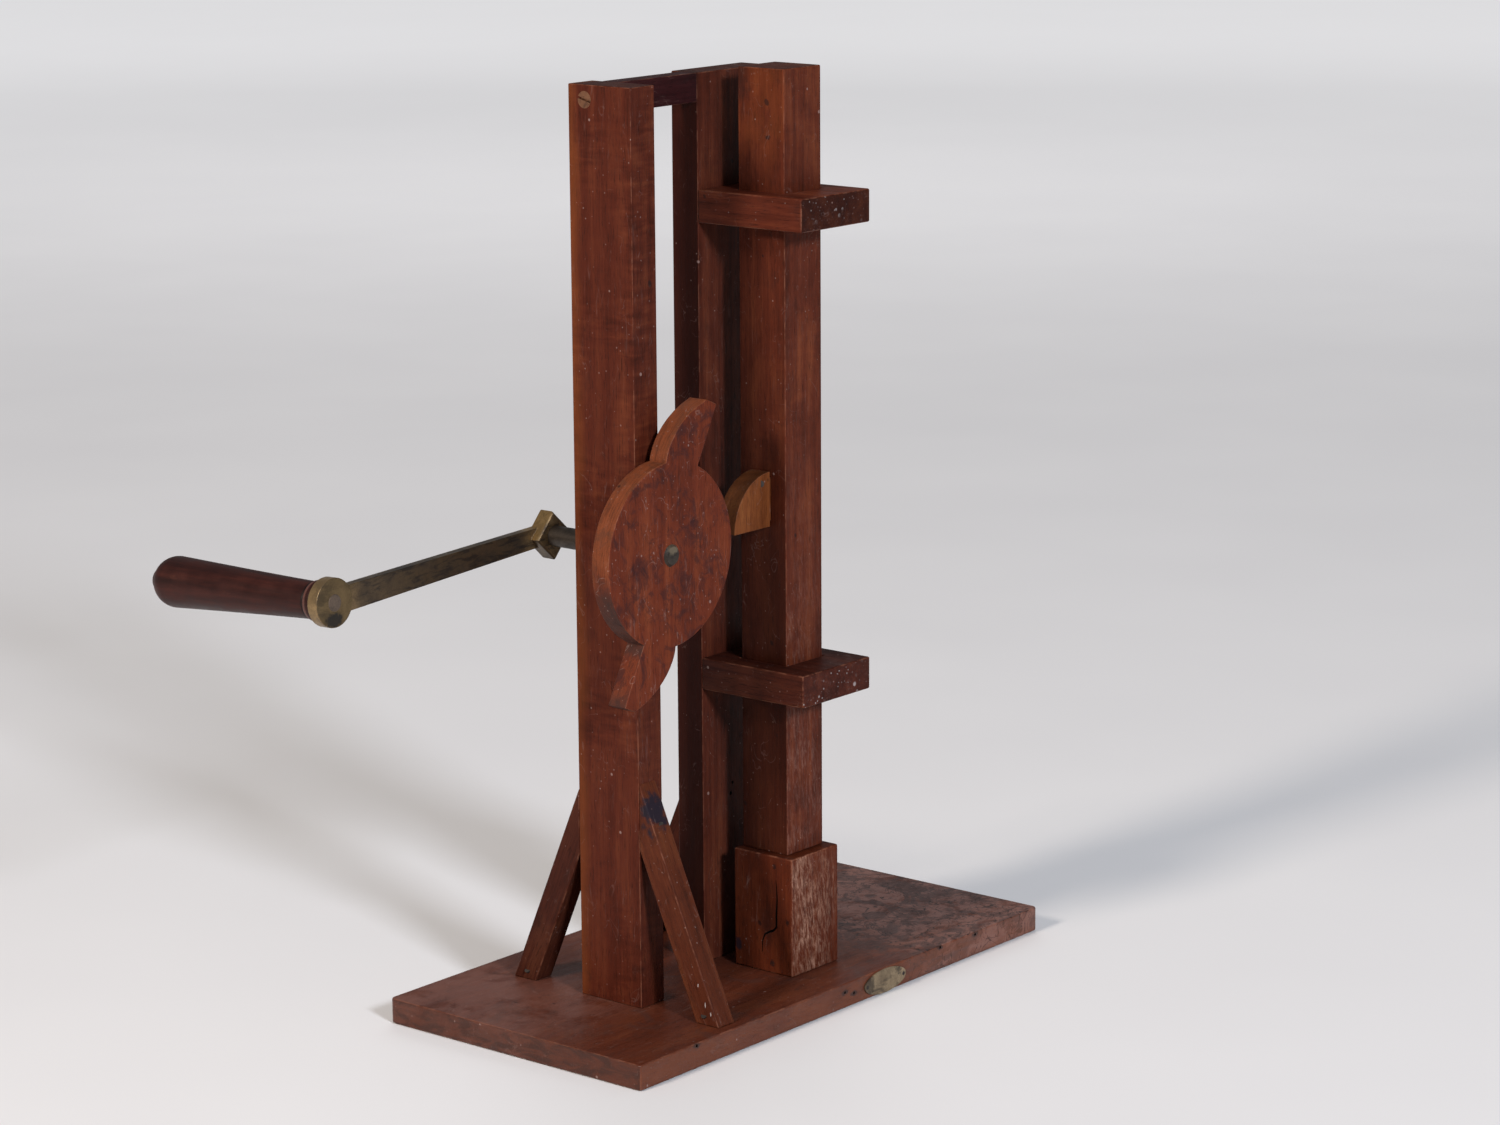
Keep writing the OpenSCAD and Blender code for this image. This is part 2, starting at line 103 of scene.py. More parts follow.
class Graph:
    """One procedural material. Any value may be a socket or a plain number or colour."""

    def __init__(self, name):
        self.material = bpy.data.materials.new(name)
        self.material.use_nodes = True
        self.tree = self.material.node_tree
        self.tree.nodes.clear()
        coordinates = self.node("ShaderNodeTexCoord")
        self.place = coordinates.outputs["Object"]
        self.normal = coordinates.outputs["Normal"]

    def node(self, kind, **settings):
        made = self.tree.nodes.new(kind)
        for key, value in settings.items():
            setattr(made, key, value)
        return made

    def feed(self, socket, value):
        """Links a socket, or sets a number or colour."""
        if isinstance(value, bpy.types.NodeSocket):
            self.tree.links.new(value, socket)
        elif hasattr(value, "__len__") and len(value) == 3 and socket.type == "RGBA":
            socket.default_value = (*value, 1)
        else:
            socket.default_value = value

    def math(self, operation, a, b=0.0):
        made = self.node("ShaderNodeMath", operation=operation)
        self.feed(made.inputs[0], a)
        self.feed(made.inputs[1], b)
        return made.outputs[0]

    def times(self, a, b):
        return self.math("MULTIPLY", a, b)

    def plus(self, a, b):
        return self.math("ADD", a, b)

    def minus(self, a, b):
        return self.math("SUBTRACT", a, b)

    def any_of(self, *masks):
        """The strongest of several masks at each point."""
        joined = masks[0]
        for mask in masks[1:]:
            joined = self.math("MAXIMUM", joined, mask)
        return joined

    def vector_math(self, operation, a, b=(0, 0, 0)):
        made = self.node("ShaderNodeVectorMath", operation=operation)
        self.feed(made.inputs[0], a)
        self.feed(made.inputs[1], b)
        return made.outputs["Value" if operation in ("LENGTH", "DOT_PRODUCT") else "Vector"]

    def in_mm(self, turn=(0, 0, 0), shift=(0, 0, 0)):
        """The place on the piece in millimetres, turned about the origin, then shifted."""
        made = self.node("ShaderNodeMapping")
        self.feed(made.inputs["Vector"], self.place)
        put(made, Scale=(1000, 1000, 1000), Rotation=turn, Location=shift)
        return made.outputs["Vector"]

    def noise(self, vector, size, detail=3.0, rough=0.5, twist=0.0):
        """Soft noise with blobs of that size in mm, one number or three."""
        if hasattr(size, "__len__"):
            vector = self.vector_math("MULTIPLY", vector, tuple(1 / s for s in size))
            size = 1
        made = self.node("ShaderNodeTexNoise")
        self.feed(made.inputs["Vector"], vector)
        put(made, Scale=1 / size, Detail=detail, Roughness=rough, Distortion=twist)
        return made.outputs["Fac"]

    def band(self, value, low, high, to_low=0.0, to_high=1.0):
        """A smooth step from to_low, where the value is low, to to_high, where it is high."""
        made = self.node("ShaderNodeMapRange", interpolation_type="SMOOTHSTEP")
        for name, v in (("Value", value), ("From Min", low), ("From Max", high),
                        ("To Min", to_low), ("To Max", to_high)):
            self.feed(made.inputs[name], v)
        return made.outputs["Result"]

    def mix(self, amount, a, b, blend="MIX"):
        """A blend of two colours. A mix node's colours are its inputs 6 and 7 and output 2."""
        made = self.node("ShaderNodeMix", data_type="RGBA", blend_type=blend)
        self.feed(made.inputs["Factor"], amount)
        self.feed(made.inputs[6], a)
        self.feed(made.inputs[7], b)
        return made.outputs[2]

    def grey(self, value):
        made = self.node("ShaderNodeCombineColor")
        for channel in made.inputs:
            self.feed(channel, value)
        return made.outputs["Color"]

    def ramp(self, value, *stops):
        """Colours at given values, blended in between."""
        made = self.node("ShaderNodeValToRGB")
        self.feed(made.inputs["Fac"], value)
        points = made.color_ramp.elements
        while len(points) < len(stops):
            points.new(0.5)
        for point, (at, colour) in zip(points, stops):
            point.position = at
            point.color = (*colour, 1)
        return made.outputs["Color"]

    def way_from(self, centre):
        """The way from a place on the piece, in mm."""
        return self.vector_math("SUBTRACT", self.in_mm(), tuple(c / MM for c in centre))

    def spot(self, centre, radius, ragged=0.4, soft=0.5, stretch=(1, 1, 1), seed=0):
        """1 inside a blot round a place on the piece, 0 away from it. Radius in mm.

        ragged is how far the blot's edge wanders and soft how wide it fades, as shares of
        the radius.
        """
        offset = self.vector_math("DIVIDE", self.way_from(centre), stretch)
        away = self.vector_math("LENGTH", offset)
        edge = self.noise(self.in_mm(shift=(seed, 0, 0)), radius * 0.5, 4, 0.6)
        away = self.plus(away, self.times(self.minus(edge, 0.5), 4 * ragged * radius))
        return self.band(away, radius * (1 - soft), radius, 1, 0)

    def part(self, vector, axis):
        made = self.node("ShaderNodeSeparateXYZ")
        self.feed(made.inputs["Vector"], vector)
        return made.outputs[axis]

    def beyond(self, axis, low, high, to_low=0.0, to_high=1.0):
        """A band by the place along an axis, in metres."""
        return self.band(self.part(self.place, axis), low, high, to_low, to_high)

    def facing(self, axis):
        """1 on the faces that look to the negative end of an axis."""
        return self.band(self.part(self.normal, axis), -0.9, -0.6, 1, 0)

    def curved_side(self):
        """1 on the curved sides of a piece whose flat faces look along Y."""
        return self.band(self.math("ABSOLUTE", self.part(self.normal, "Y")), 0.4, 0.8, 1, 0)

    def specks(self, spacing, size, share, shift=(0, 0, 0), stretch=(1, 1, 1)):
        """Small round specks: a share of the cells of that spacing hold one, sizes in mm."""
        vector = self.vector_math("DIVIDE", self.in_mm((0.5, 0.4, 0.6), shift), stretch)
        made = self.node("ShaderNodeTexVoronoi")
        self.feed(made.inputs["Vector"], vector)
        put(made, Scale=1 / spacing)
        chosen = self.node("ShaderNodeSeparateColor")
        self.feed(chosen.inputs["Color"], made.outputs["Color"])
        radius = self.band(chosen.outputs["Red"], 1 - share, 1, 0, size / spacing)
        inside = self.minus(radius, made.outputs["Distance"])
        return self.band(inside, 0, 0.35 * size / spacing)

    def finish(self, colour, roughness, bump, bump_mm, metallic=0.0, specular=0.5):
        """Joins everything in one shader and gives the material."""
        shader = self.node("ShaderNodeBsdfPrincipled")
        self.feed(shader.inputs["Base Color"], colour)
        self.feed(shader.inputs["Roughness"], roughness)
        put(shader, Metallic=metallic, Specular_IOR_Level=specular)
        relief = self.node("ShaderNodeBump")
        put(relief, Strength=1, Distance=bump_mm * MM)
        self.feed(relief.inputs["Height"], bump)
        self.feed(shader.inputs["Normal"], relief.outputs["Normal"])
        out = self.node("ShaderNodeOutputMaterial")
        self.feed(out.inputs["Surface"], shader.outputs["BSDF"])
        return self.material


# ---------- Wood ----------

# Turns about X and Y that bring the grain to the Z axis
GRAIN_TURNS = {
    "Z": (0, 0),
    "X": (0, math.radians(90)),
    "Y": (math.radians(90), 0),
    "front brace": (BRACE_LEAN, 0),
    "rear brace": (-BRACE_LEAN, 0),
}
OFF_SQUARE = 0.6    # a turn about the grain that keeps noise cells from lining up with a face
GRAIN_AXES = {
    "Z": (0, 0, 1),
    "X": (1, 0, 0),
    "Y": (0, 1, 0),
    "front brace": (0, math.sin(BRACE_LEAN), math.cos(BRACE_LEAN)),
    "rear brace": (0, -math.sin(BRACE_LEAN), math.cos(BRACE_LEAN)),
}
RED_BROWN = ((0.034, 0.0075, 0.0035), (0.084, 0.018, 0.0085), (0.155, 0.042, 0.017))
DARK_RED = ((0.027, 0.0065, 0.004), (0.066, 0.0155, 0.009), (0.12, 0.034, 0.017))
TAN = ((0.075, 0.022, 0.008), (0.15, 0.05, 0.018), (0.23, 0.09, 0.032))
GRIME = (0.014, 0.008, 0.0075)
PALE_WEAR = (0.30, 0.20, 0.175)
EDGE_WEAR = (0.21, 0.085, 0.05)
PAINT = (0.42, 0.37, 0.36)
INK = (0.012, 0.012, 0.02)
SAP = (0.25, 0.07, 0.014)


def worn_edges(g, grain, round_axis=None):
    """1 on rounded edges, where the smooth normal leaves the directions of the flat faces.

    round_axis is the axis of a piece with curved sides, such as the cam.
    """
    if round_axis:
        along = g.part(g.vector_math("ABSOLUTE", g.normal), round_axis)
        across = g.math("SQRT", g.minus(1, g.times(along, along)))
        flat = g.math("MAXIMUM", along, across)
    else:
        turned = g.node("ShaderNodeMapping", vector_type="NORMAL")
        g.feed(turned.inputs["Vector"], g.normal)
        put(turned, Rotation=(*GRAIN_TURNS[grain], 0))
        size = g.vector_math("ABSOLUTE", turned.outputs["Vector"])
        x, y, z = (g.part(size, axis) for axis in "XYZ")
        flat = g.math("MAXIMUM", x, g.math("MAXIMUM", y, z))
    return g.band(flat, 0.86, 0.99, 1, 0)


def wood(name, grain, tones=RED_BROWN, seed=0, curl=0.1, grime=0.35, specks=0.3, wear=0.15,
         blots=(), rough=0.45, end_dark=0.6, tint=(1, 1, 1), specular=0.07, figure=1.0,
         edges=0.45, round_axis=None, scratches=0.12):
    """Old varnished hardwood with its grain along one axis of the piece.

    blots are (mask maker, colour, strength): a function of the graph that gives a mask.
    end_dark is the end grain's brightness against the long grain's, tint a factor on the
    colour, figure the contrast of the grain, edges how far the edges are rubbed pale,
    scratches how plain the pale hairlines are. rough is the varnish's roughness and
    specular its strength of reflection. round_axis goes to worn_edges.
    """
    g = Graph(name)
    p = g.in_mm((*GRAIN_TURNS[grain], OFF_SQUARE), (37.0 * seed, 61.0 * seed, 211.0 * seed))
    broad = g.noise(p, (8, 8, 120), 5, 0.6, 0.7)
    fine = g.noise(p, (1.2, 1.2, 42), 5, 0.68, 0.4)
    pores = g.noise(p, (0.5, 0.5, 6), 2, 0.5)
    blotch = g.noise(p, (22, 22, 42), 5, 0.6, 0.6)
    ripple = g.noise(p, (17, 17, 3.6), 3, 0.55, 0.3)
    where_curly = g.band(g.noise(p, (40, 40, 60), 2, 0.5), 0.42, 0.62)

    # Growth rings round a pith that lies outside the piece
    pith = g.vector_math("ADD", p, (48 + 9 * seed, 31, 0))
    pith = g.vector_math("MULTIPLY", pith, (1, 1, 0.035))
    rings = g.node("ShaderNodeTexWave", wave_type="RINGS", rings_direction="Z")
    g.feed(rings.inputs["Vector"], pith)
    put(rings, Scale=0.05, Distortion=9, Detail=3, Detail_Scale=0.35)

    tone = 0
    for share, pattern in ((0.34, broad), (0.3, fine), (0.05, rings.outputs["Fac"]),
                           (0.4, blotch)):
        tone = g.plus(tone, g.times(g.minus(pattern, 0.5), share))
    curls = g.times(g.minus(ripple, 0.5), where_curly)
    tone = g.plus(tone, g.times(curls, curl))
    tone = g.plus(g.times(tone, figure), 0.51)
    dark, middle, light = (tuple(c * t for c, t in zip(plain, tint)) for plain in tones)
    colour = g.ramp(tone, (0.34, dark), (0.5, middle), (0.68, light))

    # End grain drinks more varnish and is darker
    along = GRAIN_AXES[grain]
    toward_end = g.math("ABSOLUTE", g.vector_math("DOT_PRODUCT", g.normal, along))
    end = g.band(toward_end, 0.6, 0.9, 1, end_dark)
    colour = g.mix(1.0, colour, g.grey(end), "MULTIPLY")

    # Open pores, fine dark dashes along the grain
    colour = g.mix(g.band(pores, 0.56, 0.7, 0, 0.5), colour, tuple(0.4 * c for c in dark))

    # Grime in soft clouds, pale rubbed streaks along the grain, and worn edges
    clouds = g.noise(p, (13, 13, 20), 7, 0.68, 0.8)
    colour = g.mix(g.band(clouds, 0.5, 0.74, 0, grime), colour, GRIME)
    rubbed = g.noise(p, (2.2, 2.2, 15), 5, 0.7, 0.5)
    patches = g.noise(p, 42, 2, 0.5)
    rub_mask = g.times(g.band(rubbed, 0.56, 0.72), g.band(patches, 0.45, 0.62))
    colour = g.mix(g.times(rub_mask, wear), colour, PALE_WEAR)
    broken = g.band(g.noise(p, (5, 5, 9), 4, 0.65), 0.42, 0.62, 0, edges)
    rim = g.times(worn_edges(g, grain, round_axis), broken)
    colour = g.mix(rim, colour, EDGE_WEAR)
    for make_mask, blot_colour, strength in blots:
        colour = g.mix(g.times(make_mask(g), strength), colour, blot_colour)

    # Hairline scratches that wander across the grain
    hair = g.math("ABSOLUTE", g.minus(g.noise(p, (16, 16, 26), 3, 0.5, 1.4), 0.5))
    where = g.band(g.noise(p, (9, 9, 14), 3, 0.6), 0.5, 0.62, 0, scratches)
    colour = g.mix(g.times(g.band(hair, 0.002, 0.009, 1, 0), where), colour, PALE_WEAR)

    # Dust and paint specks in two sizes, and small dark scars
    dust = g.specks(2.2, 0.5, 0.7 * specks, (13 * seed, 5, 2))
    dusty = g.band(g.noise(p, 24, 3, 0.6), 0.42, 0.62, 0.15, 0.5)
    colour = g.mix(g.times(dust, dusty), colour, PALE_WEAR)
    drops = g.specks(6.5, 0.9, 0.4 * specks, (3 * seed, 15, 9), (1, 1, 1.2))
    colour = g.mix(g.times(drops, 0.6), colour, PALE_WEAR)
    scars = g.specks(13, 1.5, specks, (5 * seed, 31, 7), (1, 1, 1.6))
    colour = g.mix(g.times(scars, 0.7), colour, GRIME)

    unevenness = g.plus(g.times(clouds, 0.6), g.times(fine, 0.4))
    roughness = g.band(unevenness, 0.3, 0.7, rough - 0.06, rough + 0.16)
    height = g.times(fine, 0.5)
    height = g.minus(height, g.band(pores, 0.56, 0.72, 0, 0.5))
    height = g.plus(height, g.times(blotch, 0.8))
    height = g.minus(height, g.times(scars, 0.6))
    return g.finish(colour, roughness, height, 0.09, specular=specular)


# ---------- Metal ----------

def metal(name, light, dark, patina, metallic, rough, seed=0, blots=(), grime_share=0.5):
    """Aged metal: bright where it is rubbed, with brown patina in ragged patches."""
    g = Graph(name)
    p = g.in_mm(shift=(43.0 * seed, 17.0 * seed, 5.0 * seed))
    cloud = g.noise(p, 9, 6, 0.62, 0.4)
    grit = g.noise(p, 0.9, 3, 0.6)
    lines = g.noise(p, (14, 1.2, 1.2), 3, 0.6)
    tone = g.plus(g.times(cloud, 0.75), g.times(grit, 0.25))
    colour = g.ramp(tone, (0.36, dark), (0.62, light))
    spots = g.band(g.noise(p, (16, 5, 5), 5, 0.65, 0.5), 0.5, 0.66, 0, grime_share)
    colour = g.mix(spots, colour, patina)
    for make_mask, blot_colour, strength in blots:
        colour = g.mix(g.times(make_mask(g), strength), colour, blot_colour)
    roughness = g.band(tone, 0.3, 0.7, rough + 0.14, rough - 0.06)
    height = g.plus(g.times(grit, 0.5), g.times(lines, 0.5))
    return g.finish(colour, roughness, height, 0.03, metallic=metallic)


# ---------- Mesh helpers ----------

def new_object(name, data):
    made = bpy.data.objects.new(name, data)
    bpy.context.scene.collection.objects.link(made)
    return made


def mesh_from(bm, name):
    mesh = bpy.data.meshes.new(name)
    bm.to_mesh(mesh)
    bm.free()
    return mesh


def add_piece(name, mesh, body, material, slot, *replaced):
    """Puts a finished mesh in the scene, on its body, in the place of its CAD nodes."""
    piece = new_object(name, mesh)
    mesh.materials.clear()
    mesh.materials.append(material)
    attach(piece, body)
    if replaced:
        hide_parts(*replaced)
    return piece


def edge_groups(edges):
    """Splits edges into connected groups, in the same order on every run."""
    left = dict.fromkeys(edges)
    groups = []
    while left:
        todo = [next(iter(left))]
        del left[todo[0]]
        group = list(todo)
        while todo:
            edge = todo.pop()
            for vert in edge.verts:
                for other in vert.link_edges:
                    if other in left:
                        del left[other]
                        todo.append(other)
                        group.append(other)
        groups.append(group)
    return groups


def box_of(edges):
    """The lowest and highest corners of some edges."""
    places = [v.co for e in edges for v in e.verts]
    low = Vector([min(p[i] for p in places) for i in range(3)])
    high = Vector([max(p[i] for p in places) for i in range(3)])
    return low, high


def node_mesh(node):
    """A CAD node's mesh with its faces joined at their shared vertices."""
    bm = bmesh.new()
    bm.from_mesh(frame["nodes"][node].data)
    bmesh.ops.remove_doubles(bm, verts=bm.verts, dist=SAME_PLACE)
    return bm


def islands(node):
    """The lowest and highest corners of each separate solid of a node."""
    bm = node_mesh(node)
    found = [box_of(group) for group in edge_groups(bm.edges)]
    bm.free()
    return found


def poke_slivers(bm):
    """Splits faces from their middle where a plain split gives triangles with no area."""
    no_area = 1e-6 * MM * MM
    bm.faces.index_update()
    found = set()
    for a, b, c in bm.calc_loop_triangles():
        if (b.vert.co - a.vert.co).cross(c.vert.co - a.vert.co).length < no_area:
            found.add(a.face.index)
    bmesh.ops.poke(bm, faces=[face for face in bm.faces if face.index in found])


def worn_mesh(node, wear, smallest):
    """A copy of a CAD node's mesh with its long sharp edges rounded off, sizes in mm."""
    bm = node_mesh(node)
    flat_within, sharp_from = math.radians(0.6), math.radians(35)
    bmesh.ops.dissolve_limit(bm, angle_limit=flat_within, verts=bm.verts, edges=bm.edges)
    bmesh.ops.recalc_face_normals(bm, faces=bm.faces)
    sharp = [e for e in bm.edges if e.is_manifold and e.calc_face_angle() > sharp_from]
    long_edges = []
    for group in edge_groups(sharp):
        low, high = box_of(group)
        if (high - low).length > smallest * MM:
            long_edges += group
    if long_edges:
        bmesh.ops.bevel(bm, geom=long_edges, offset=wear * MM, segments=3, profile=0.5,
                        affect="EDGES", clamp_overlap=False)
    poke_slivers(bm)
    return mesh_from(bm, node + "_mesh")


def add_worn(node, wear, body, material, slot, smallest=12.0):
    """Puts a worn copy of a CAD node in the node's place. Sizes in mm."""
    mesh = worn_mesh(node, wear, smallest)
    return add_piece(node + "_worn", mesh, body, material, slot, node)


def slab_mesh(low, high, corner_radii, wear):
    """A board with rounded corners and worn edges.

    corner_radii run anticlockwise from the -X-Y corner. Radii and wear in mm.
    """
    centres = [(low.x, low.y, 1, 1), (high.x, low.y, -1, 1), (high.x, high.y, -1, -1),
               (low.x, high.y, 1, -1)]
    corner_steps, edge_steps = 6, 4
    smallest = 0.1 * MM
    bm = bmesh.new()

    def outline(inset, z):
        ring = []
        for k, ((x, y, sx, sy), radius) in enumerate(zip(centres, corner_radii)):
            radius *= MM
            inner = max(radius - inset, smallest)
            for i in range(corner_steps + 1):
                a = math.pi + math.pi / 2 * (k + i / corner_steps)
                place = (x + sx * radius + inner * math.cos(a),
                         y + sy * radius + inner * math.sin(a), z)
                ring.append(bm.verts.new(place))
        return ring

    levels = []
    for i in range(edge_steps + 1):
        a = math.pi / 2 * i / edge_steps
        levels.append((wear * MM * (1 - math.sin(a)), wear * MM * (1 - math.cos(a))))
    rings = [outline(inset, low.z + rise) for inset, rise in levels]
    rings += [outline(inset, high.z - rise) for inset, rise in reversed(levels)]
    for a, b in zip(rings, rings[1:]):
        for i in range(len(a)):
            n = (i + 1) % len(a)
            bm.faces.new((a[i], a[n], b[n], b[i]))
    bm.faces.new(rings[0])
    bm.faces.new(rings[-1])
    bmesh.ops.recalc_face_normals(bm, faces=bm.faces)
    return mesh_from(bm, "slab")


def settle(piece, smooth_angle=38):
    """Applies a piece's modifiers and shades it smooth over its worn edges only."""
    bpy.context.view_layer.update()
    solid = piece.evaluated_get(bpy.context.evaluated_depsgraph_get())
    mesh = bpy.data.meshes.new_from_object(solid)
    piece.modifiers.clear()
    piece.data = mesh
    mesh.shade_smooth()
    mesh.set_sharp_from_angle(angle=math.radians(smooth_angle))
    weighted = piece.modifiers.new("even_flats", "WEIGHTED_NORMAL")
    weighted.keep_sharp = True


def carve(piece, *cutters):
    """Cuts the cutters out of a piece and removes them."""
    for cutter in cutters:
        cut = piece.modifiers.new("cut", "BOOLEAN")
        cut.operation = "DIFFERENCE"
        cut.solver = "EXACT"
        cut.material_mode = "TRANSFER"
        cut.object = cutter
    settle(piece)
    for cutter in cutters:
        bpy.data.objects.remove(cutter)


def hollow_material():
    """Painted shade and dirt inside cracks and nail holes, a near-black material, made once."""
    if "hollow_shade_and_dirt" in bpy.data.materials:
        return bpy.data.materials["hollow_shade_and_dirt"]
    g = Graph("hollow_shade_and_dirt")
    dirt = g.noise(g.in_mm(), 1.1, 3, 0.6)
    colour = g.ramp(dirt, (0.4, (0.003, 0.002, 0.0018)), (0.7, (0.014, 0.007, 0.005)))
    return g.finish(colour, 0.9, dirt, 0.1, specular=0.05)


def cutter_from(bm, name):
    """An object for carve to cut out, which leaves near-black walls behind: painted shade and
    dirt.
    """
    bmesh.ops.recalc_face_normals(bm, faces=bm.faces)
    mesh = mesh_from(bm, name)
    mesh.materials.append(hollow_material())
    return new_object(name, mesh)


def crack(points, outward, width, depth):
    """A V-shaped crack along points on a face, widest in its middle. Width, depth in mm."""
    outward = Vector(outward)
    proud = 0.3    # how far the cutter stands out of the face
    bm = bmesh.new()
    rows = []
    last = len(points) - 1
    for i, point in enumerate(points):
        point = Vector(point)
        ahead = Vector(points[min(i + 1, last)]) - Vector(points[max(i - 1, 0)])
        side = outward.cross(ahead).normalized()
        fade = 0.25 + 0.75 * math.sin(math.pi * (i + 0.5) / (last + 1))
        half = side * width * MM * fade / 2
        top = point + outward * proud * MM
        bottom = point - outward * depth * MM * fade
        rows.append([bm.verts.new(top - half), bm.verts.new(top + half), bm.verts.new(bottom)])
    for a, b in zip(rows, rows[1:]):
        for k in range(3):
            bm.faces.new((a[k], a[(k + 1) % 3], b[(k + 1) % 3], b[k]))
    bm.faces.new(rows[0])
    bm.faces.new(rows[-1])
    return cutter_from(bm, "crack_cutter")


def pit(centre, outward, radius, depth, straight=False):
    """A small round hole in a face: a tapered nail hole or a straight bore. Sizes in mm."""
    steps, taper = (32, 1) if straight else (14, 0.55)
    outward = Vector(outward)
    turn = outward.to_track_quat("Z", "Y").to_matrix().to_4x4()
    bm = bmesh.new()
    bmesh.ops.create_cone(
        bm, cap_ends=True, segments=steps, depth=2 * depth * MM,
        radius1=radius * taper * MM, radius2=radius * MM,
        matrix=Matrix.Translation(centre) @ turn,
    )
    return cutter_from(bm, "pit_cutter")


def lathe(profile, start, axis, steps=96):
    """A closed solid of revolution: profile is (radius, distance along the axis) in mm."""
    turn = axis.to_track_quat("Z", "Y").to_matrix()
    bm = bmesh.new()
    rings = []
    for i in range(steps):
        a = 2 * math.pi * i / steps
        spoke = Vector((math.cos(a), math.sin(a), 0))
        rings.append([
            bm.verts.new(start + turn @ (spoke * r * MM + Vector((0, 0, z * MM))))
            for r, z in profile
        ])
    for a, b in zip(rings, rings[1:] + rings[:1]):
        for k in range(len(profile)):
            n = (k + 1) % len(profile)
            bm.faces.new((a[k], b[k], b[n], a[n]))
    bmesh.ops.recalc_face_normals(bm, faces=bm.faces)
    return mesh_from(bm, "turned")


def give(material, *nodes):
    """Gives a material to CAD nodes that stay in the scene."""
    for node in nodes:
        slots = frame["nodes"][node].data.materials
        slots.clear()
        slots.append(material)


# ---------- Frame pieces ----------

def left_side(g):
    return g.facing("X")


def make_base_board():
    low, high = box("base_board")
    # Nail holes in the long narrow side, (x, z)
    holes = [(0.0025, 0.006), (-0.0046, 0.008), (0.073, 0.0115), (0.1026, 0.011), (-0.117, 0.0112)]

    def mottle(g):
        """Dark water stains over the end of the board beyond the shoe."""
        reach = g.beyond("X", 0.02, 0.07)
        stains = g.noise(g.in_mm(shift=(7, 3, 0)), 17, 7, 0.7, 1.2)
        return g.times(reach, g.band(stains, 0.46, 0.55))

    def pale_ground_and_sheen(g):
        """Bleached wood and painted sheen between the stains."""
        reach = g.beyond("X", 0.03, 0.09)
        pale = g.noise(g.in_mm(shift=(57, 31, 0)), 13, 6, 0.66, 0.8)
        return g.times(reach, g.band(pale, 0.32, 0.54))

    def hole_rims(g):
        """Dirt round the nail holes."""
        return g.any_of(*(g.spot((x, low.y, z), 2.3, 0.3, 0.6, (1.5, 1, 0.8)) for x, z in holes))

    def old_rings(g):
        """Curled dark lines, as dried drops leave."""
        curl = g.noise(g.in_mm(shift=(91, 13, 0)), 15, 3, 0.55, 1.5)
        line = g.band(g.math("ABSOLUTE", g.minus(curl, 0.5)), 0.004, 0.02, 1, 0)
        return g.times(line, g.beyond("X", 0.02, 0.06))

    def bright_side(g):
        """The long narrow side is rubbed to an orange brown."""
        worn = g.noise(g.in_mm(shift=(5, 5, 5)), (28, 28, 7), 5, 0.65, 0.5)
        return g.times(g.facing("Y"), g.band(worn, 0.36, 0.62, 0.3, 1))

    def clouds(g):
        """Soft dark clouds all over the board."""
        return g.band(g.noise(g.in_mm(shift=(31, 77, 0)), 26, 6, 0.65, 0.8), 0.54, 0.7)

    def painted_sheen(g):
        """Painted sheen: a grey reflection on the varnish at the crank's end of the board."""
        reach = g.times(g.beyond("X", low.x + 0.05, low.x + 0.09, 1, 0),
                        g.beyond("Y", low.y + 0.04, low.y + 0.085))
        grey = g.noise(g.in_mm(shift=(3, 8, 0)), 30, 6, 0.68, 0.5)
        return g.times(reach, g.band(grey, 0.36, 0.56))

    def dark_end(g):
        """Dirt in the end grain of the short side at the crank's end."""
        dirt = g.noise(g.in_mm(shift=(4, 41, 5)), (9, 17, 5), 6, 0.68, 0.8)
        return g.times(g.facing("X"), g.band(dirt, 0.42, 0.6))

    # The pale ground at the far end is partly painted sheen, and the grey bloom at the crank's end
    # is painted sheen.
    material = wood(
        "base_wood", "X", seed=1, curl=0.05, grime=0.35, specks=0.35, wear=0.22, rough=0.4,
        specular=0.32, figure=0.5, end_dark=0.85, tint=(1.05, 1.12, 1.05),
        blots=((pale_ground_and_sheen, (0.28, 0.145, 0.118), 0.6), (mottle, (0.05, 0.026, 0.023), 0.7),
               (painted_sheen, (0.2, 0.09, 0.07), 0.42), (left_side, (0.08, 0.02, 0.008), 0.66),
               (dark_end, (0.022, 0.008, 0.005), 0.6), (old_rings, GRIME, 0.9),
               (clouds, (0.05, 0.028, 0.024), 0.4), (bright_side, (0.15, 0.038, 0.012), 0.6),
               (hole_rims, GRIME, 0.8)),
    )
    mesh = slab_mesh(low, high, corner_radii=(1.3, 3.0, 2.2, 3.4), wear=0.9)
    piece = add_piece("base_board_worn", mesh, "frame", material, "frame_wood", "base_board")
    cutters = [pit((x, low.y, z), FRONT, radius=0.9, depth=2.5) for x, z in holes]
    # Counterbores under the screws that hold the uprights
    for screw_low, screw_high in islands("upright_screws"):
        middle = (screw_low + screw_high) / 2
        foot = (middle.x, middle.y, low.z)
        cutters.append(pit(foot, DOWN, radius=4, depth=0.5, straight=True))
    carve(piece, *cutters)


